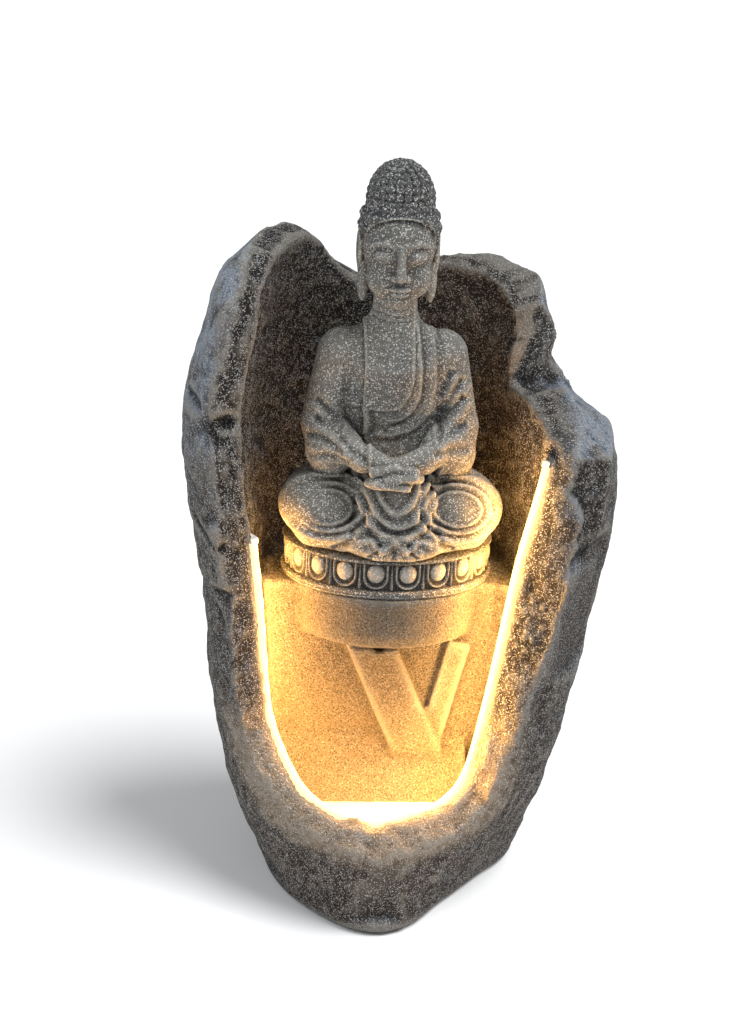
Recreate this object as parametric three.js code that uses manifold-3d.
// Tabletop water fountain: a cast stone-look rock with a lit niche and a basin, a lotus base
// with a seated figure on a ledge, and the pump, lights and service door that it holds inside.
// Millimetres, +Z up, +X to the right, the open front towards -Y.
import * as THREE from 'three';
import { mergeVertices } from 'three/addons/utils/BufferGeometryUtils.js';
import Module from 'manifold-3d';

const wasm = await Module();
wasm.setup();

// ---------------------------------------------------------------- driving sizes
const gap = 0.3;              // between pieces that touch
const runningGap = 0.1;       // round a pin or shaft that turns

const rockCentre = [6, 8];    // the upright axis that the rock's sections are drawn round
const rockFoot = 3;           // underside of the casting, held up by its pads
const basinFloor = 35;
const waterLevel = 85;
const ledgeTop = 272;
const ledgeThickness = 16;
const ledgeHalf = [108, 104]; // half width and half depth of the ledge inside the niche
const cascadeFront = -28;     // front face of the wall that the water runs down
const cascadeThickness = 16;
const drumHalf = [80, 64];
const drumHeight = 44;
const apronReach = 28;        // how far the wall's foot comes forward into the basin
const apronHeight = 62;

const chamberHalfWidth = 53;
const chamberBack = 96;
const returnSlot = { halfWidth: 30, low: 38, high: 62 };

const footRecess = { depth: 6, reach: 0.8 };
const underHollow = { top: 25, reach: 0.62 };
const basePlateThickness = 4;
const padRadius = 8;
const padAngles = [20, 110, 200, 270];
const padReach = 0.895;       // share of the foot's radius at which the pads stand
const screwReach = 0.71;
const plateScrewAngles = [50, 140, 235, 330];

// The service door's heights follow the ledge, so that the chamber always reaches above it.
const frameSize = { halfWidth: 62, low: 105, high: ledgeTop - 38, thickness: 4 };
const frameSeat = 114;        // flat face at the back of the rock that the door frame lies on
const doorway = { halfWidth: 44, low: 120, high: ledgeTop - 72 };
const rockDoorway = { halfWidth: 53, low: 114, high: ledgeTop - 48 };
const doorOverlap = 4;
const doorThickness = 5;
const doorwayHeight = doorway.high - doorway.low;
const hinge = { x: -55, pinRadius: 1.5, barrelRadius: 4, barrelLength: 14,
  ends: [doorway.low + 0.075 * doorwayHeight, doorway.high - 0.25 * doorwayHeight] };
const latch = { x: 38, shaftRadius: 3, knobRadius: 9, camReach: 12, camWidth: 8, camThickness: 4 };
const socket = { z: ledgeTop - 57, radius: 5.5, flangeRadius: 7.5, length: 16 };
const frameScrew = { radius: 2, headRadius: 3.6, length: 14, inset: 4.5 };

const pump = { width: 40, depth: 42, height: 38, back: 50, cupHeight: 6, cupRadius: 7 };
const volute = { radius: 12, depth: 18 };
const impeller = { radius: 10, hubRadius: 3.5, depth: 12, blades: 5 };
const shaftRadius = 1.2;
const coverDepth = 14;
const coverWall = 2;
const dial = { radius: 8, thickness: 4, stemRadius: 3 };
const outlet = { radius: 6.5, bore: 4, height: 14, y: 40 };
const hose = { radius: 8.8, bore: 7.3, spoutDrop: 7 };
const spout = { bore: 3.5, fanWidth: 44, fanHeight: 7, fanReach: 9, collarRadius: 8 };

const strip = { width: 6, depth: 12, proud: 4, capLength: 5 };
const leadRadius = 1.6;
const leadTunnelRadius = 2.2;

const lotus = { half: [86, 62], height: 32, bandHeight: 9, lipHeight: 6 };
const figureHeight = 306;
const figureCentre = [5, 0];
const stud = { radius: 3, intoFigure: 22, nutRadius: 6, nutHeight: 5, washerRadius: 11 };

// ---------------------------------------------------------------- finishes
const finish = (color, roughness, metalness) => new THREE.MeshStandardMaterial({ color, roughness,
    metalness });
const stoneDark = finish(0x3f4248, 0.88, 0);
const stoneGrey = finish(0x70706e, 0.85, 0);
const blackPlastic = finish(0x1c1d1f, 0.5, 0);
const greyPlastic = finish(0x4a4d50, 0.55, 0);
const rubber = finish(0x18181a, 0.9, 0);
const softTube = finish(0xb9c2c4, 0.3, 0);
const steel = finish(0xb4b6b8, 0.35, 1);
const brass = finish(0xb99a55, 0.35, 1);
const ceramic = finish(0xe6e4dc, 0.4, 0);
const warmStrip = finish(0xffe2a8, 0.4, 0);

// ---------------------------------------------------------------- solids
const weld = 1e-3;
const radians = THREE.MathUtils.degToRad;
const X = new THREE.Vector3(1, 0, 0);
const Y = new THREE.Vector3(0, 1, 0);
const Z = new THREE.Vector3(0, 0, 1);

// A closed geometry as a manifold solid, with shared vertices merged and slivers dropped.
function solid(geometry) {
  const bare = geometry.clone();
  for (const name of Object.keys(bare.attributes)) {
    if (name !== 'position') bare.deleteAttribute(name);
  }
  const merged = mergeVertices(bare, weld);
  const corners = merged.index.array;
  const kept = [];
  for (let i = 0; i < corners.length; i += 3) {
    const [a, b, c] = [corners[i], corners[i + 1], corners[i + 2]];
    if (a !== b && b !== c && c !== a) kept.push(a, b, c);
  }
  const vertProperties = Float32Array.from(merged.attributes.position.array);
  return new wasm.Manifold(new wasm.Mesh({ numProp: 3, vertProperties, triVerts: Uint32Array.from(kept) }));
}

function geometryOf(shape) {
  const mesh = shape.getMesh();
  const geometry = new THREE.BufferGeometry();
  geometry.setAttribute('position', new THREE.BufferAttribute(Float32Array.from(mesh.vertProperties), 3));
  geometry.setIndex(new THREE.BufferAttribute(Uint32Array.from(mesh.triVerts), 1));
  const flat = geometry.toNonIndexed();
  flat.computeVertexNormals();
  return flat;
}

const joined = (shapes) => shapes.reduce((whole, shape) => whole.add(shape));

// A block between two corners.
function block(low, high) {
  const size = high.map((value, i) => value - low[i]);
  const box = new THREE.BoxGeometry(...size);
  return solid(box.translate(low[0] + size[0] / 2, low[1] + size[1] / 2, low[2] + size[2] / 2));
}

// A round rod from one point to another, with its own radius at each end.
function rod(from, to, radius, endRadius = radius, sides = 20) {
  const start = new THREE.Vector3(...from);
  const run = new THREE.Vector3(...to).sub(start);
  const cylinder = new THREE.CylinderGeometry(endRadius, radius, run.length(), sides);
  cylinder.translate(0, run.length() / 2, 0);
  cylinder.applyQuaternion(new THREE.Quaternion().setFromUnitVectors(Y, run.clone().normalize()));
  return solid(cylinder.translate(start.x, start.y, start.z));
}

function blob(centre, half, around = 10, up = 7) {
  return solid(new THREE.SphereGeometry(1, around,
      up).rotateX(Math.PI / 2).scale(...half).translate(...centre));
}

// A limb with round ends.
function limb(from, to, radius, endRadius) {
  return joined([
    rod(from, to, radius, endRadius, 10),
    blob(from, [radius, radius, radius]),
    blob(to, [endRadius, endRadius, endRadius]),
  ]);
}

// A profile of [radius, height] pairs turned about Z.
function turned(profile, sides = 24) {
  const points = profile.map(([radius, height]) => new THREE.Vector2(radius, height));
  return new THREE.LatheGeometry(points, sides).rotateX(Math.PI / 2);
}

function roundTube(points, radius, steps, sides = 8) {
  const curve = new THREE.CatmullRomCurve3(points.map((point) => new THREE.Vector3(...point)));
  const outline = Array.from({ length: sides }, (_, i) => {
    const angle = (2 * Math.PI * i) / sides;
    return new THREE.Vector2(radius * Math.cos(angle), radius * Math.sin(angle));
  });
  return solid(new THREE.ExtrudeGeometry(new THREE.Shape(outline), { steps, extrudePath: curve }));
}

// A closed skin from rows of points that each run once round, with a point at either end.
function skin(bottom, rows, top) {
  const around = rows[0].length;
  const points = [bottom, ...rows.flat(), top];
  const faces = [];
  const at = (row, column) => 1 + row * around + (column % around);
  for (let column = 0; column < around; column += 1) {
    faces.push(0, at(0, column + 1), at(0, column));
    for (let row = 0; row + 1 < rows.length; row += 1) {
      faces.push(at(row, column), at(row, column + 1), at(row + 1, column + 1));
      faces.push(at(row, column), at(row + 1, column + 1), at(row + 1, column));
    }
    faces.push(points.length - 1, at(rows.length - 1, column), at(rows.length - 1, column + 1));
  }
  const geometry = new THREE.BufferGeometry();
  geometry.setAttribute('position', new THREE.BufferAttribute(Float32Array.from(points.flat()), 3));
  geometry.setIndex(faces);
  return geometry;
}

const part = new THREE.Group();

function piece(name, shape, material, place = [0, 0, 0]) {
  const geometry = shape.isBufferGeometry ? shape : geometryOf(shape);
  const mesh = new THREE.Mesh(geometry, material);
  mesh.name = name;
  mesh.position.set(...place);
  part.add(mesh);
}

// ---------------------------------------------------------------- rock: key curves
// Outer radius at every 30 degrees round the axis, from the right and over the back.
const outerRings = [
  { z: 3, radii: [122, 116, 104, 100, 99, 96, 92, 100, 116, 135, 104, 100] },
  { z: 90, radii: [149, 142, 128, 122, 124, 127, 127, 133, 136, 146, 131, 137] },
  { z: 200, radii: [170, 162, 147, 135, 138, 144, 148, 146, 140, 146, 134, 150] },
  { z: 262, radii: [178, 168, 150, 137, 141, 148, 148, 145, 140, 146, 136, 158] },
  { z: 300, radii: [185, 173, 152, 137, 143, 153, 160, 157, 142, 146, 140, 163] },
  { z: 390, radii: [181, 170, 148, 133, 142, 157, 170, 165, 150, 146, 146, 170] },
  { z: 425, radii: [154, 148, 136, 129, 138, 153, 167, 162, 148, 146, 146, 160] },
  { z: 446, radii: [124, 129, 128, 125, 135, 149, 163, 158, 146, 146, 144, 150] },
  { z: 500, radii: [119, 121, 118, 114, 122, 134, 148, 148, 142, 140, 130, 128] },
  { z: 560, radii: [102, 103, 104, 104, 108, 116, 126, 130, 124, 120, 110, 104] },
];
const innerRings = [
  { z: 35, radii: [88, 80, 75, 70, 75, 82, 88, 96, 100, 106, 92, 88] },
  { z: 100, radii: [98, 92, 84, 78, 84, 92, 98, 110, 120, 119, 108, 98] },
  { z: 220, radii: [102, 95, 86, 80, 86, 94, 103, 117, 120, 119, 108, 109] },
  { z: 300, radii: [104, 97, 88, 82, 88, 97, 106, 123, 120, 119, 110, 116] },
  { z: 390, radii: [104, 98, 90, 86, 91, 100, 113, 141, 130, 119, 112, 132] },
  { z: 470, radii: [102, 95, 90, 88, 91, 96, 110, 140, 128, 119, 112, 126] },
  { z: 540, radii: [84, 84, 84, 84, 82, 82, 92, 112, 108, 108, 100, 92] },
];
// Height of the rim's inner edge: the right shoulder, the back, the horn and the front opening.
const rimHeights = [
  [0, 422], [9, 420], [14, 421], [17, 426], [20, 478], [30, 495], [42, 505], [60, 508], [75, 502], [90,
      489],
  [104, 484], [118, 499], [134, 526], [150, 538], [167, 541], [189, 538], [200, 518], [204, 470],
  [205.5, 400], [208, 328], [209.5, 266], [211, 222], [216, 166], [227, 137], [236, 117], [252, 104],
  [261, 103], [266, 98], [271, 102], [284, 106], [297, 107], [308, 120], [318, 168], [324, 228],
  [329, 304], [332.6, 362], [335.5, 390], [341, 408], [350, 418],
];
const columnStep = 7.5;
const outerRows = 12;
const innerRows = 8;
const lipDrop = 20;           // from the rim's inner edge down to its outer edge
const crownRise = 5;          // of the rim's middle, where it is rounded at the back
const lipHeightLimit = 190;   // below this the rim is the basin's chamfered lip

function loopValue(values, turns) {
  const span = turns * values.length;
  const k = Math.floor(span);
  const t = span - k;
  const pick = (offset) => values[(k + offset + values.length) % values.length];
  const [a, b, c, d] = [pick(-1), pick(0), pick(1), pick(2)];
  return b + 0.5 * t * (c - a + t * (2 * a - 5 * b + 4 * c - d + t * (3 * (b - c) + d - a)));
}

function ringRadius(rings, angle, height) {
  const turns = angle / 360;
  const next = rings.findIndex((ring) => ring.z > height);
  if (next === 0) return loopValue(rings[0].radii, turns);
  if (next < 0) return loopValue(rings.at(-1).radii, turns);
  const [low, high] = [rings[next - 1], rings[next]];
  const share = (height - low.z) / (high.z - low.z);
  return THREE.MathUtils.lerp(loopValue(low.radii, turns), loopValue(high.radii, turns), share);
}

function rimHeight(angle) {
  const next = rimHeights.findIndex(([key]) => key > angle);
  const [fromAngle, fromHeight] = rimHeights.at(next - 1);
  const [keyAngle, toHeight] = next < 0 ? rimHeights[0] : rimHeights[next];
  const toAngle = next < 0 ? 360 : keyAngle;
  return THREE.MathUtils.lerp(fromHeight, toHeight, (angle - fromAngle) / (toAngle - fromAngle));
}

function rockPoint(angle, radius, height) {
  const turn = radians(angle);
  return [rockCentre[0] + radius * Math.cos(turn), rockCentre[1] + radius * Math.sin(turn), height];
}

const rimInnerRadius = (angle) => ringRadius(innerRings, angle, rimHeight(angle));

// Angles of the grid's columns: every key of the rim, with the wide steps filled in.
function columnAngles() {
  return rimHeights.flatMap(([start], i) => {
    const end = i + 1 < rimHeights.length ? rimHeights[i + 1][0] : 360;
    const count = Math.ceil((end - start) / columnStep);
    return Array.from({ length: count }, (_, k) => start + ((end - start) * k) / count);
  });
}

// ---------------------------------------------------------------- rock: casting
function rockBody() {
  const angles = columnAngles();
  const row = (pointAt) => angles.map(pointAt);
  const outerTop = (angle) => rimHeight(angle) - lipDrop;
  const outerAt = (angle, share) => {
    const height = rockFoot + (outerTop(angle) - rockFoot) * share;
    return rockPoint(angle, ringRadius(outerRings, angle, height), height);
  };
  const innerAt = (angle, share) => {
    const height = rimHeight(angle) + (basinFloor - rimHeight(angle)) * share;
    return rockPoint(angle, ringRadius(innerRings, angle, height), height);
  };
  const crown = (angle) => {
    const outer = ringRadius(outerRings, angle, outerTop(angle));
    const rise = rimHeight(angle) > lipHeightLimit ? crownRise : -lipDrop / 4;
    return rockPoint(angle, (outer + rimInnerRadius(angle)) / 2, rimHeight(angle) + rise);
  };
  const rows = [
    row((angle) => rockPoint(angle, ringRadius(outerRings, angle, rockFoot) / 2, rockFoot)),
    ...Array.from({ length: outerRows }, (_, k) => row((angle) => outerAt(angle, k / (outerRows - 1)))),
    row(crown),
    ...Array.from({ length: innerRows }, (_, k) => row((angle) => innerAt(angle, k / (innerRows - 1)))),
    row((angle) => rockPoint(angle, ringRadius(innerRings, angle, basinFloor) / 2, basinFloor)),
  ];
  return solid(skin([...rockCentre, rockFoot], rows, [...rockCentre, basinFloor]));
}

// A plug with the foot's outline at a share of its reach, for the hollow underneath.
function footPlug(reach, low, high) {
  const angles = columnAngles();
  const ring = (height) => angles.map((angle) =>
    rockPoint(angle, ringRadius(outerRings, angle, rockFoot) * reach, height));
  return solid(skin([...rockCentre, low], [ring(low), ring(high)], [...rockCentre, high]));
}

const footPoint = (angle, share, height) => rockPoint(angle, ringRadius(outerRings, angle,
    rockFoot) * share, height);

// Ledge, drum and cascade wall, as one mass behind the basin.
function ledgeMass() {
  const sunk = 4;             // depth to which the mass reaches into the floor and walls
  const height = ledgeTop - basinFloor + sunk;
  const middle = basinFloor - sunk + height / 2;
  const taper = 0.84;
  const mass = solid(new THREE.CylinderGeometry(1, taper, height, 40).rotateX(Math.PI / 2)
    .scale(ledgeHalf[0], ledgeHalf[1], 1).translate(rockCentre[0], rockCentre[1], middle));
  const front = block([-200, cascadeFront, 0], [200, 200, ledgeTop]);
  const drum = solid(turned([[0, 0], [0.95, 0], [1, 10], [1, drumHeight], [0, drumHeight]], 40)
    .scale(drumHalf[0], drumHalf[1], 1).translate(figureCentre[0], figureCentre[1], ledgeTop - drumHeight));
  return mass.intersect(front).add(drum).add(apron());
}

function apron() {
  const halfWidth = 78;
  const sunk = 4;
  const outline = new THREE.Shape([
    new THREE.Vector2(cascadeFront + sunk, basinFloor - sunk),
    new THREE.Vector2(cascadeFront - apronReach, basinFloor - sunk),
    new THREE.Vector2(cascadeFront - apronReach, waterLevel),
    new THREE.Vector2(cascadeFront - apronReach / 3, waterLevel + apronHeight / 2),
    new THREE.Vector2(cascadeFront + sunk, waterLevel + apronHeight),
  ]);
  const wedge = new THREE.ExtrudeGeometry(outline, { depth: 2 * halfWidth, bevelEnabled: false });
  return solid(wedge.rotateX(Math.PI / 2).rotateZ(Math.PI / 2).translate(-halfWidth, 0, 0));
}

// The two slanting slabs that split the falling water, standing proud of the cascade wall.
function slab(from, to, width, proud) {
  const run = Math.hypot(to[0] - from[0], to[1] - from[1]);
  const sunk = 6;
  const box = new THREE.BoxGeometry(width, proud + sunk, run);
  box.rotateY(Math.atan2(to[0] - from[0], to[1] - from[1]));
  box.translate((from[0] + to[0]) / 2, cascadeFront + (sunk - proud) / 2, (from[1] + to[1]) / 2);
  return solid(box);
}

// ---------------------------------------------------------------- light strip
const stripAngles = [208.2, 209.5, 211, 216, 226, 238, 252, 266, 281, 296, 308, 318, 324, 329, 332.6,
    335.2];
const stripCurve = new THREE.CatmullRomCurve3(stripAngles.map((angle) =>
  new THREE.Vector3(...rockPoint(angle, rimInnerRadius(angle), rimHeight(angle)))));
const stripSteps = 44;

// Centre of the strip and its two section axes at a share of the curve's length.
function stripFrame(share) {
  const edge = stripCurve.getPointAt(share);
  const along = stripCurve.getTangentAt(share);
  const outward = new THREE.Vector3(edge.x - rockCentre[0], edge.y - rockCentre[1], 0).normalize();
  outward.addScaledVector(along, -outward.dot(along)).normalize();
  const forward = new THREE.Vector3().crossVectors(outward, along);
  const centre = edge.clone()
    .addScaledVector(outward, strip.width / 2 - strip.proud)
    .addScaledVector(forward, -strip.depth / 2 + 1);
  return { centre, outward, forward };
}

// A stretch of the strip's path as a solid bar, wider all round by the clearance.
function stripBar(from, to, clearance = 0) {
  const halfWidth = strip.width / 2 + clearance;
  const halfDepth = strip.depth / 2 + clearance;
  const corners = [[-1, -1], [-1, 1], [1, 1], [1, -1]];
  const stations = Array.from({ length: stripSteps }, (_, k) => (k + 0.5) / stripSteps);
  const shares = [from, ...stations.filter((share) => share > from && share < to), to];
  const rows = shares.map((share) => {
    const { centre, outward, forward } = stripFrame(share);
    return corners.map(([a, b]) => centre.clone()
      .addScaledVector(outward, a * halfWidth).addScaledVector(forward, b * halfDepth).toArray());
  });
  return solid(skin(stripFrame(from).centre.toArray(), rows, stripFrame(to).centre.toArray()));
}

const stripLength = stripCurve.getLength();
const capShare = strip.capLength / stripLength;
const gapShare = gap / stripLength;

// ---------------------------------------------------------------- places that pieces share
const chamberFront = cascadeFront + cascadeThickness;
const chamberTop = ledgeTop - ledgeThickness;
const spoutHeight = ledgeTop - drumHeight - hose.spoutDrop;
const frameOuter = frameSeat + gap + frameSize.thickness;
const doorBack = frameOuter + gap;
const doorFace = doorBack + doorThickness;
const hingeY = doorBack + hinge.barrelRadius;
const pumpFloor = basinFloor + pump.cupHeight;
const pumpTop = pumpFloor + pump.height;
const pumpFront = pump.back - pump.depth;
const impellerZ = pumpFloor + pump.height / 2;
const coverBack = pump.back + gap + coverDepth;
const lotusFoot = ledgeTop + gap;
const lotusTop = lotusFoot + lotus.height;
const seat = lotusTop + gap;
const studTop = seat + stud.intoFigure;
const studFoot = chamberTop - 14;
const basePlateLow = rockFoot + 1;

const stripEnd = stripFrame(0);
const tunnelStart = stripEnd.centre.clone().addScaledVector(stripEnd.outward,
    strip.width / 2 + leadRadius + gap);
const leadFoot = ledgeTop - 50; // height at which the led lead comes out of the wall into the chamber
const leadInWall = [[-122, -24, 0.23], [-122, 6, 0.49], [-108, 36, 0.79], [-84, 56, 1]].map(([x, y,
    share]) =>
  [x, y, THREE.MathUtils.lerp(tunnelStart.z, leadFoot, share)]);
const socketTail = [0, frameOuter - socket.length - 1, socket.z];
const ledLeadPoints = [
  tunnelStart.toArray(), ...leadInWall, [-50, 70, leadFoot - 8], [-24, 80, leadFoot - 4], [-8, 92,
      socket.z],
  [-2.5, ...socketTail.slice(1)],
];
const ledLeadSteps = 40;
const pumpLeadPoints = [
  [pump.width / 2 + 1, 28, impellerZ], [34, 32, impellerZ + 6], [40, 50, impellerZ + 50],
  [38, 70, socket.z - 55], [24, 82, socket.z - 15], [9, 92, socket.z], [2.5, ...socketTail.slice(1)],
];

function rockShell() {
  const doorHole = block([-rockDoorway.halfWidth, chamberBack - 1, rockDoorway.low],
    [rockDoorway.halfWidth, 200, rockDoorway.high]);
  const frameHollow = block([-frameSize.halfWidth - 1, frameSeat, frameSize.low - 1],
    [frameSize.halfWidth + 1, 200, frameSize.high + 1]);
  const chamber = block([-chamberHalfWidth, chamberFront, basinFloor], [chamberHalfWidth, chamberBack,
      chamberTop]);
  const slot = block([-returnSlot.halfWidth, cascadeFront - apronReach - 1, returnSlot.low],
    [returnSlot.halfWidth, chamberFront + 1, returnSlot.high]);
  const spoutHole = rod([0, cascadeFront - drumHalf[1], spoutHeight], [0, chamberFront + 1, spoutHeight],
    spout.collarRadius + gap);
  const spoutRecess = block([-spout.fanWidth / 2 - gap, cascadeFront - 14,
      spoutHeight - spout.fanHeight / 2 - gap],
    [spout.fanWidth / 2 + gap, cascadeFront, spoutHeight + spout.fanHeight / 2 + gap]);
  const studHole = rod([...figureCentre, chamberTop - 1], [...figureCentre, ledgeTop + 1],
      stud.radius + gap);
  const screwHoles = frameScrewPlaces().map(([x, z]) =>
    rod([x, frameSeat - frameScrew.length, z], [x, frameSeat + 1, z], frameScrew.radius + gap,
        undefined, 10));
  const plateHoles = plateScrewAngles.map((angle) => rod(footPoint(angle, screwReach,
      rockFoot + footRecess.depth - 1),
    footPoint(angle, screwReach, rockFoot + footRecess.depth + 10), frameScrew.radius + gap, undefined,
        10));
  const grooves = stripBar(0, 1, gap);
  const start = tunnelStart.toArray();
  const tunnel = joined([roundTube(ledLeadPoints, leadTunnelRadius, ledLeadSteps),
    rod(stripEnd.centre.toArray(), start, leadTunnelRadius, undefined, 12),
    blob(start, [leadTunnelRadius, leadTunnelRadius, leadTunnelRadius], 10, 6)]);
  const body = joined([rockBody(), ledgeMass(),
    slab([-12, ledgeTop - drumHeight + 4], [46, 96], 38, 9),
    slab([66, ledgeTop - drumHeight - 6], [44, 120], 20, 7)]);
  const cuts = [chamber, doorHole, frameHollow, slot, spoutHole, spoutRecess, studHole, grooves, tunnel,
    footPlug(footRecess.reach, 0, rockFoot + footRecess.depth), footPlug(underHollow.reach, 0,
        underHollow.top),
    ...screwHoles, ...plateHoles];
  return mainBody(cuts.reduce((shape, cut) => shape.subtract(cut), body));
}

// The casting itself, without the crumbs that a cut leaves where two faceted walls cross.
function mainBody(shape) {
  return shape.decompose().reduce((largest, next) => (next.volume() > largest.volume() ? next : largest));
}

function frameScrewPlaces() {
  const x = frameSize.halfWidth - frameScrew.inset;
  return [frameSize.low + frameScrew.inset, frameSize.high - frameScrew.inset].flatMap((z) => [[-x, z],
      [x, z]]);
}

piece('rock_shell', rockShell(), stoneDark);

// ---------------------------------------------------------------- underside
function basePlate() {
  const plate = footPlug(footRecess.reach - 0.01, basePlateLow, basePlateLow + basePlateThickness);
  const holes = plateScrewAngles.map((angle) =>
    rod(footPoint(angle, screwReach, 0), footPoint(angle, screwReach, rockFoot + 10),
        frameScrew.radius + gap, undefined, 10));
  return holes.reduce((shape, hole) => shape.subtract(hole), plate);
}
piece('base_plate', basePlate(), blackPlastic);

// A screw with a pan head, its point towards +Z and its head's underside at the origin.
function panScrew(length) {
  const { radius, headRadius } = frameScrew;
  return turned([[0, -2], [headRadius * 0.7, -2], [headRadius, -1], [headRadius, 0], [radius, 0],
    [radius, length - 2], [0, length]], 12);
}
plateScrewAngles.forEach((angle, i) => {
  const place = footPoint(angle, screwReach, basePlateLow - gap / 3);
  piece(`base_screw_${i + 1}`, panScrew(basePlateThickness + 9), steel, place);
});
padAngles.forEach((angle, i) => {
  const pad = turned([[0, 0], [padRadius - 1, 0], [padRadius, 1], [padRadius, rockFoot - gap], [0,
      rockFoot - gap]], 20);
  piece(`foot_pad_${i + 1}`, pad, rubber, footPoint(angle, padReach, 0));
});

// ---------------------------------------------------------------- service door
function hingeBarrel(low, high, webTo) {
  const barrel = rod([hinge.x, hingeY, low], [hinge.x, hingeY, high], hinge.barrelRadius, undefined, 20);
  return barrel.add(webTo(low, high));
}
const pinBore = (low, high) =>
  rod([hinge.x, hingeY, low], [hinge.x, hingeY, high], hinge.pinRadius + runningGap, undefined, 24);

function doorFrame() {
  const { halfWidth, low, high } = frameSize;
  const plate = block([-halfWidth, frameSeat + gap, low], [halfWidth, frameOuter, high])
    .subtract(block([-doorway.halfWidth, frameSeat, doorway.low], [doorway.halfWidth, frameOuter + 1,
        doorway.high]));
  const web = (from, to) => block([hinge.x - 2, frameOuter - 1, from], [hinge.x + 2, hingeY, to]);
  const ends = hinge.ends.flatMap((z) => [
    hingeBarrel(z - hinge.barrelLength / 2, z - 0.5, web),
  ]);
  const holes = frameScrewPlaces().map(([x, z]) =>
    rod([x, frameSeat, z], [x, frameOuter + 1, z], frameScrew.radius + gap, undefined, 12));
  const socketHole = rod([0, frameSeat, socket.z], [0, frameOuter + 1, socket.z], socket.radius + gap);
  const full = [plate, ...ends].reduce((shape, next) => shape.add(next));
  return [...holes, socketHole, pinBore(0, ledgeTop)].reduce((shape, hole) => shape.subtract(hole), full);
}
piece('door_frame', doorFrame(), blackPlastic);

function rearDoor() {
  const halfWidth = doorway.halfWidth + doorOverlap;
  const plate = block([-halfWidth, doorBack, doorway.low - doorOverlap],
    [halfWidth, doorFace, doorway.high + doorOverlap - 2]);
  const rib = block([-halfWidth + 14, doorFace - 1, doorway.low + 8], [latch.x - 18, doorFace + 1.5,
      doorway.high - 8]);
  const web = (from, to) => block([hinge.x, hingeY - 1, from], [-halfWidth + 1, doorFace, to]);
  const barrels = hinge.ends.map((z) => hingeBarrel(z, z + hinge.barrelLength / 2, web));
  const shaftHole = rod([latch.x, doorBack - 1, latchZ], [latch.x, doorFace + 3, latchZ],
    latch.shaftRadius + runningGap, undefined, 24);
  return joined([plate, rib, ...barrels]).subtract(shaftHole).subtract(pinBore(0, ledgeTop));
}
const latchZ = (doorway.low + doorway.high) / 2;
piece('rear_door', rearDoor(), blackPlastic);
piece('hinge_pin', rod([hinge.x, hingeY, hinge.ends[0] - 10], [hinge.x, hingeY, hinge.ends[1] + 10],
  hinge.pinRadius, undefined, 24), steel);

function latchKnob() {
  const knob = turned([[0, 0], [latch.knobRadius, 0], [latch.knobRadius, 5], [latch.knobRadius - 1, 6],
      [0, 6]], 24)
    .rotateX(-Math.PI / 2).translate(latch.x, doorFace + gap, latchZ);
  const grip = block([latch.x - 1.5, doorFace + 5, latchZ - latch.knobRadius + 1],
    [latch.x + 1.5, doorFace + 11, latchZ + latch.knobRadius - 1]);
  const camFace = frameSeat - gap;
  const shaft = rod([latch.x, camFace - latch.camThickness + 0.6, latchZ], [latch.x, doorFace + 1, latchZ],
    latch.shaftRadius, undefined, 24);
  return joined([solid(knob), grip, shaft]);
}
piece('latch_knob', latchKnob(), greyPlastic);

function latchCam() {
  const back = frameSeat - gap - latch.camThickness;
  const half = latch.camWidth / 2;
  const arm = block([latch.x - half, back, latchZ], [latch.x + half, back + latch.camThickness,
      latchZ + latch.camReach]);
  const hub = rod([latch.x, back, latchZ], [latch.x, back + latch.camThickness, latchZ], half + 1.2);
  const bore = rod([latch.x, back - 1, latchZ], [latch.x, back + latch.camThickness + 1, latchZ],
      latch.shaftRadius + gap);
  return arm.add(hub).subtract(bore);
}
piece('latch_cam', latchCam(), steel);
frameScrewPlaces().forEach(([x, z], i) => {
  const screw = panScrew(frameScrew.length).rotateX(Math.PI / 2);
  piece(`frame_screw_${i + 1}`, screw, steel, [x, frameOuter + gap / 3, z]);
});

// ---------------------------------------------------------------- low-voltage socket and leads
function dcSocket() {
  const { radius, flangeRadius, length, z } = socket;
  const outline = [[0, 0], [radius, 0], [radius, length], [flangeRadius, length], [flangeRadius,
      length + 2],
    [3, length + 2], [3, length - 6], [1, length - 6], [1, length + 1], [0, length + 1]];
  return turned(outline, 20).rotateX(-Math.PI / 2).translate(0, frameOuter + gap - length, z);
}
piece('dc_socket', dcSocket(), blackPlastic);

// A hexagonal nut standing on the origin.
function hexNut(bore, corner, height) {
  return solid(turned([[0, 0], [corner, 0], [corner, height], [0, height]], 6))
    .subtract(rod([0, 0, -1], [0, 0, height + 1], bore, undefined, 16));
}
const socketNutHeight = 3;
piece('socket_nut', hexNut(socket.radius + gap, socket.flangeRadius + 1, socketNutHeight).rotate([90,
    0, 0]),
  steel, [0, frameSeat, socket.z]);
piece('led_lead', roundTube(ledLeadPoints, leadRadius, ledLeadSteps), rubber);
piece('pump_lead', roundTube(pumpLeadPoints, leadRadius, 30), rubber);

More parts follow.
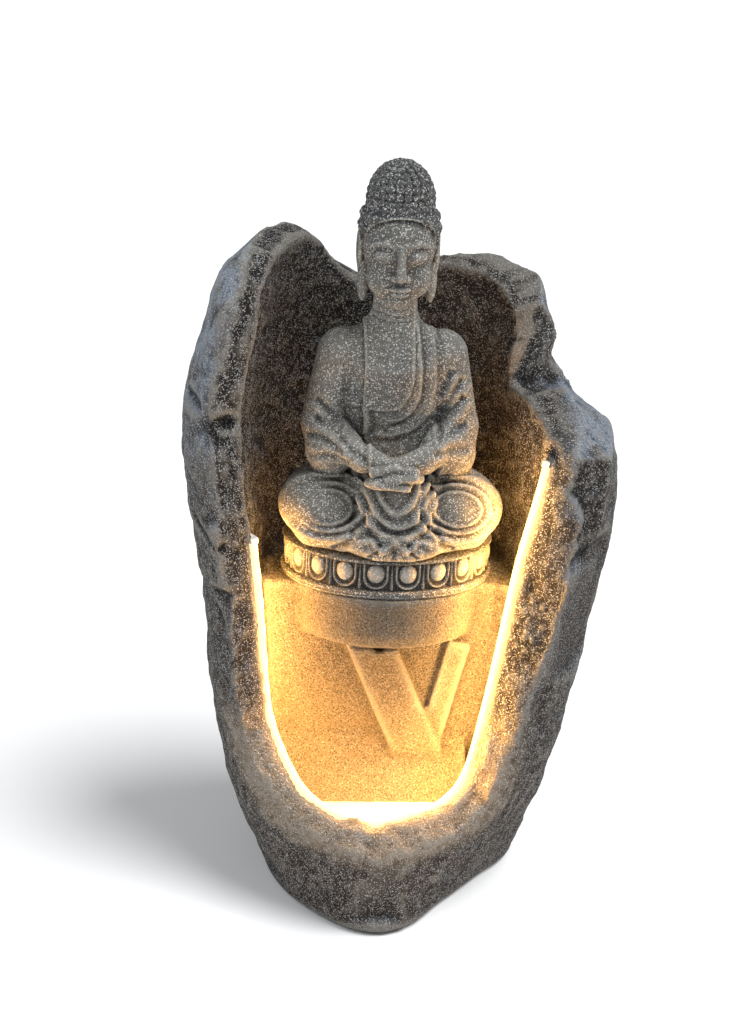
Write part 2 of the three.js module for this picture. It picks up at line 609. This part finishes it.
// ---------------------------------------------------------------- pump
function pumpBody() {
  const half = pump.width / 2;
  const housing = block([-half, pumpFront, pumpFloor], [half, pump.back, pumpTop]);
  const stub = rod([0, outlet.y, pumpTop - 1], [0, outlet.y, pumpTop + outlet.height], outlet.radius);
  const room = rod([0, pump.back - volute.depth, impellerZ], [0, pump.back + 1, impellerZ],
      volute.radius, undefined, 24);
  const bore = rod([0, outlet.y, impellerZ], [0, outlet.y, pumpTop + outlet.height + 1], outlet.bore,
      undefined, 16);
  const shaftHole = rod([0, pump.back - volute.depth - 6, impellerZ], [0, pump.back, impellerZ],
    shaftRadius + runningGap, undefined, 16);
  const plugHole = rod([half - 1, 28, impellerZ], [half + 1, 28, impellerZ], leadRadius + 1, undefined, 12);
  return [room, bore, shaftHole, plugHole].reduce((shape, cut) => shape.subtract(cut), housing.add(stub));
}
piece('pump_body', pumpBody(), blackPlastic);

function pumpImpeller() {
  const front = pump.back - volute.depth + 2;
  const hub = rod([0, front, impellerZ], [0, front + impeller.depth, impellerZ], impeller.hubRadius,
      undefined, 16);
  const blades = Array.from({ length: impeller.blades }, (_, i) => {
    const blade = new THREE.BoxGeometry(impeller.radius - 1, impeller.depth,
        1.4).translate(impeller.radius / 2 + 0.4, 0, 0);
    blade.rotateY((2 * Math.PI * i) / impeller.blades);
    return solid(blade.translate(0, front + impeller.depth / 2, impellerZ));
  });
  const bore = rod([0, front - 1, impellerZ], [0, front + impeller.depth + 1, impellerZ],
      shaftRadius + runningGap,
    undefined, 16);
  return joined([hub, ...blades]).subtract(bore);
}
piece('pump_impeller', pumpImpeller(), greyPlastic);
piece('impeller_shaft', rod([0, pump.back - volute.depth - 5.7, impellerZ], [0, pump.back - 2, impellerZ],
  shaftRadius, undefined, 16), ceramic);

function pumpCover() {
  const half = pump.width / 2;
  const front = pump.back + gap;
  const shell = block([-half, front, pumpFloor], [half, coverBack, pumpTop])
    .subtract(block([-half + coverWall, front - 1, pumpFloor + coverWall],
      [half - coverWall, coverBack - coverWall, pumpTop - coverWall]));
  const slots = [-14, 14].flatMap((x) => [-12, -4, 4, 12].map((z) =>
    block([x - 4, coverBack - coverWall - 1, impellerZ + z - 1.5], [x + 4, coverBack + 1,
        impellerZ + z + 1.5])));
  const stemHole = rod([0, front, impellerZ], [0, coverBack + 1, impellerZ],
      dial.stemRadius + runningGap, undefined, 24);
  return [...slots, stemHole].reduce((shape, cut) => shape.subtract(cut), shell);
}
piece('pump_cover', pumpCover(), blackPlastic);

function flowDial() {
  const disc = rod([0, coverBack + gap, impellerZ], [0, coverBack + gap + dial.thickness, impellerZ],
      dial.radius);
  const stem = rod([0, coverBack - coverWall - 3, impellerZ], [0, coverBack + 1, impellerZ],
      dial.stemRadius,
    undefined, 24);
  const pointer = block([-1, coverBack + dial.thickness - 1, impellerZ],
    [1, coverBack + gap + dial.thickness + 1, impellerZ + dial.radius - 1]);
  return joined([disc, stem, pointer]);
}
piece('flow_dial', flowDial(), greyPlastic);

[[-1, 0], [1, 0], [-1, 1], [1, 1]].forEach(([side, rear], i) => {
  const { cupRadius, cupHeight } = pump;
  const cup = turned([[0, 1.5], [cupRadius - 2, 1], [cupRadius, gap], [3, cupHeight - gap], [0,
      cupHeight - gap]], 16);
  const y = rear ? pump.back - cupRadius - 3 : pumpFront + cupRadius + 3;
  piece(`suction_cup_${i + 1}`, cup, rubber, [side * (pump.width / 2 - cupRadius - 2), y, basinFloor]);
});

// ---------------------------------------------------------------- hose and spout
const hoseFoot = pumpTop + gap;
const hoseEnd = chamberFront + 12;
function riserHose() {
  const route = [[0, outlet.y, hoseFoot], [0, outlet.y, hoseFoot + 30], [0, outlet.y - 2, spoutHeight - 60],
    [0, outlet.y - 12, spoutHeight - 22], [0, hoseEnd + 10, spoutHeight - 2], [0, hoseEnd - 6,
        spoutHeight]];
  const before = [0, outlet.y, hoseFoot - 4];
  const after = [0, hoseEnd - 10, spoutHeight];
  const outer = roundTube(route, hose.radius, 16, 12);
  const inner = roundTube([before, ...route, after], hose.bore, 18, 12);
  return outer.subtract(inner);
}
piece('riser_hose', riserHose(), softTube);

piece('hose_clamp', ring(hose.radius + gap, hose.radius + gap + 1.2, 6), steel, [0, outlet.y,
    hoseFoot + 3]);

function spoutNozzle() {
  const fanFront = cascadeFront - spout.fanReach;
  const fan = block([-spout.fanWidth / 2, fanFront, spoutHeight - spout.fanHeight / 2],
    [spout.fanWidth / 2, cascadeFront - gap, spoutHeight + spout.fanHeight / 2]);
  const collar = rod([0, cascadeFront - 1, spoutHeight], [0, chamberFront + 2, spoutHeight],
      spout.collarRadius);
  const tail = rod([0, chamberFront, spoutHeight], [0, hoseEnd + 2, spoutHeight], outlet.radius);
  const slotInside = block([-spout.fanWidth / 2 + 2, fanFront - 1, spoutHeight - 1.2],
    [spout.fanWidth / 2 - 2, cascadeFront - 2, spoutHeight + 1.2]);
  const bore = rod([0, fanFront + 3, spoutHeight], [0, hoseEnd + 3, spoutHeight], spout.bore - 1.2,
      undefined, 16);
  return joined([fan, collar, tail]).subtract(slotInside).subtract(bore);
}
piece('spout_nozzle', spoutNozzle(), blackPlastic);

// ---------------------------------------------------------------- light strip pieces
piece('led_strip', stripBar(capShare + gapShare, 1 - capShare - gapShare), warmStrip);
piece('led_end_cap_1', stripBar(gapShare, capShare), ceramic);
piece('led_end_cap_2', stripBar(1 - capShare, 1 - gapShare), ceramic);

// ---------------------------------------------------------------- lotus base
function lotusBase() {
  const [halfWidth, halfDepth] = lotus.half;
  const { height, bandHeight, lipHeight } = lotus;
  const profile = [[0, 0], [0.97, 0], [0.97, bandHeight - 1], [0.93, bandHeight], [0.99, bandHeight + 5],
    [1, height - lipHeight - 4], [0.95, height - lipHeight], [0.97, height - 1], [0.95, height], [0,
        height]];
  const body = solid(turned(profile, 48).scale(halfWidth, halfDepth, 1)
    .translate(...figureCentre, lotusFoot));
  return body.subtract(rod([...figureCentre, 0], [...figureCentre, ledgeTop + 200], stud.radius + gap));
}
piece('lotus_base', lotusBase(), stoneGrey);

// ---------------------------------------------------------------- seated figure
function seatedFigure() {
  const rise = figureHeight / 306; // the figure's proportions are set out at this height
  const mirrored = (make) => [make(-1), make(1)];
  const shapes = [
    blob([0, -4, 22], [78, 50, 26], 20),
    ...mirrored((side) => limb([side * 34, 12, 24], [side * 66, -20, 24], 24, 22)),
    ...mirrored((side) => limb([side * 60, -26, 18], [side * -8, -46, 18], 18, 16)),
    blob([0, 4, 74], [46, 35, 50]),
    blob([0, 4, 130], [50, 33, 44]),
    ...mirrored((side) => limb([side * 40, 6, 150], [side * 50, -2, 86], 17, 17)),
    ...mirrored((side) => limb([side * 50, -6, 82], [side * 14, -46, 66], 17, 13)),
    blob([0, -50, 64], [32, 19, 12]),
    rod([0, 4, 156], [0, 2, 200], 32, 18, 16),
    blob([0, -2, 233], [28, 32, 40]),
    blob([0, 3, 250], [33, 35, 36]),
    blob([0, 5, 272], [27, 28, 32]),
    rod([0, 5, 288], [0, 5, 306], 16, 5, 14),
    ...mirrored((side) => blob([side * 30, 2, 226], [5, 9, 30], 10)),
  ];
  const body = joined(shapes).scale([1, 1, rise]).translate([...figureCentre, seat]);
  const above = block([-200, -200, seat], [200, 200, seat + figureHeight]);
  const hole = rod([...figureCentre, 0], [...figureCentre, studTop + gap], stud.radius + gap);
  return body.intersect(above).subtract(hole);
}
piece('seated_figure', seatedFigure(), stoneGrey);

piece('figure_stud', rod([...figureCentre, studFoot], [...figureCentre, studTop], stud.radius,
    undefined, 16), steel);

// A round ring of one wall, standing on the origin.
function ring(inside, outside, height) {
  return turned([[inside, 0], [outside, 0], [outside, height], [inside, height], [inside, 0]], 24);
}
const washerHeight = 1.6;
piece('stud_washer', ring(stud.radius + gap, stud.washerRadius, washerHeight), steel,
  [...figureCentre, chamberTop - gap - washerHeight]);
piece('stud_nut', hexNut(stud.radius + gap, stud.nutRadius, stud.nutHeight), brass,
  [...figureCentre, chamberTop - 2 * gap - washerHeight - stud.nutHeight]);

// The origin is the middle of the footprint box, on the surface that the pads stand on.
const whole = new THREE.Box3().setFromObject(part);
part.position.set(-(whole.min.x + whole.max.x) / 2, -(whole.min.y + whole.max.y) / 2, -whole.min.z);

export default part;
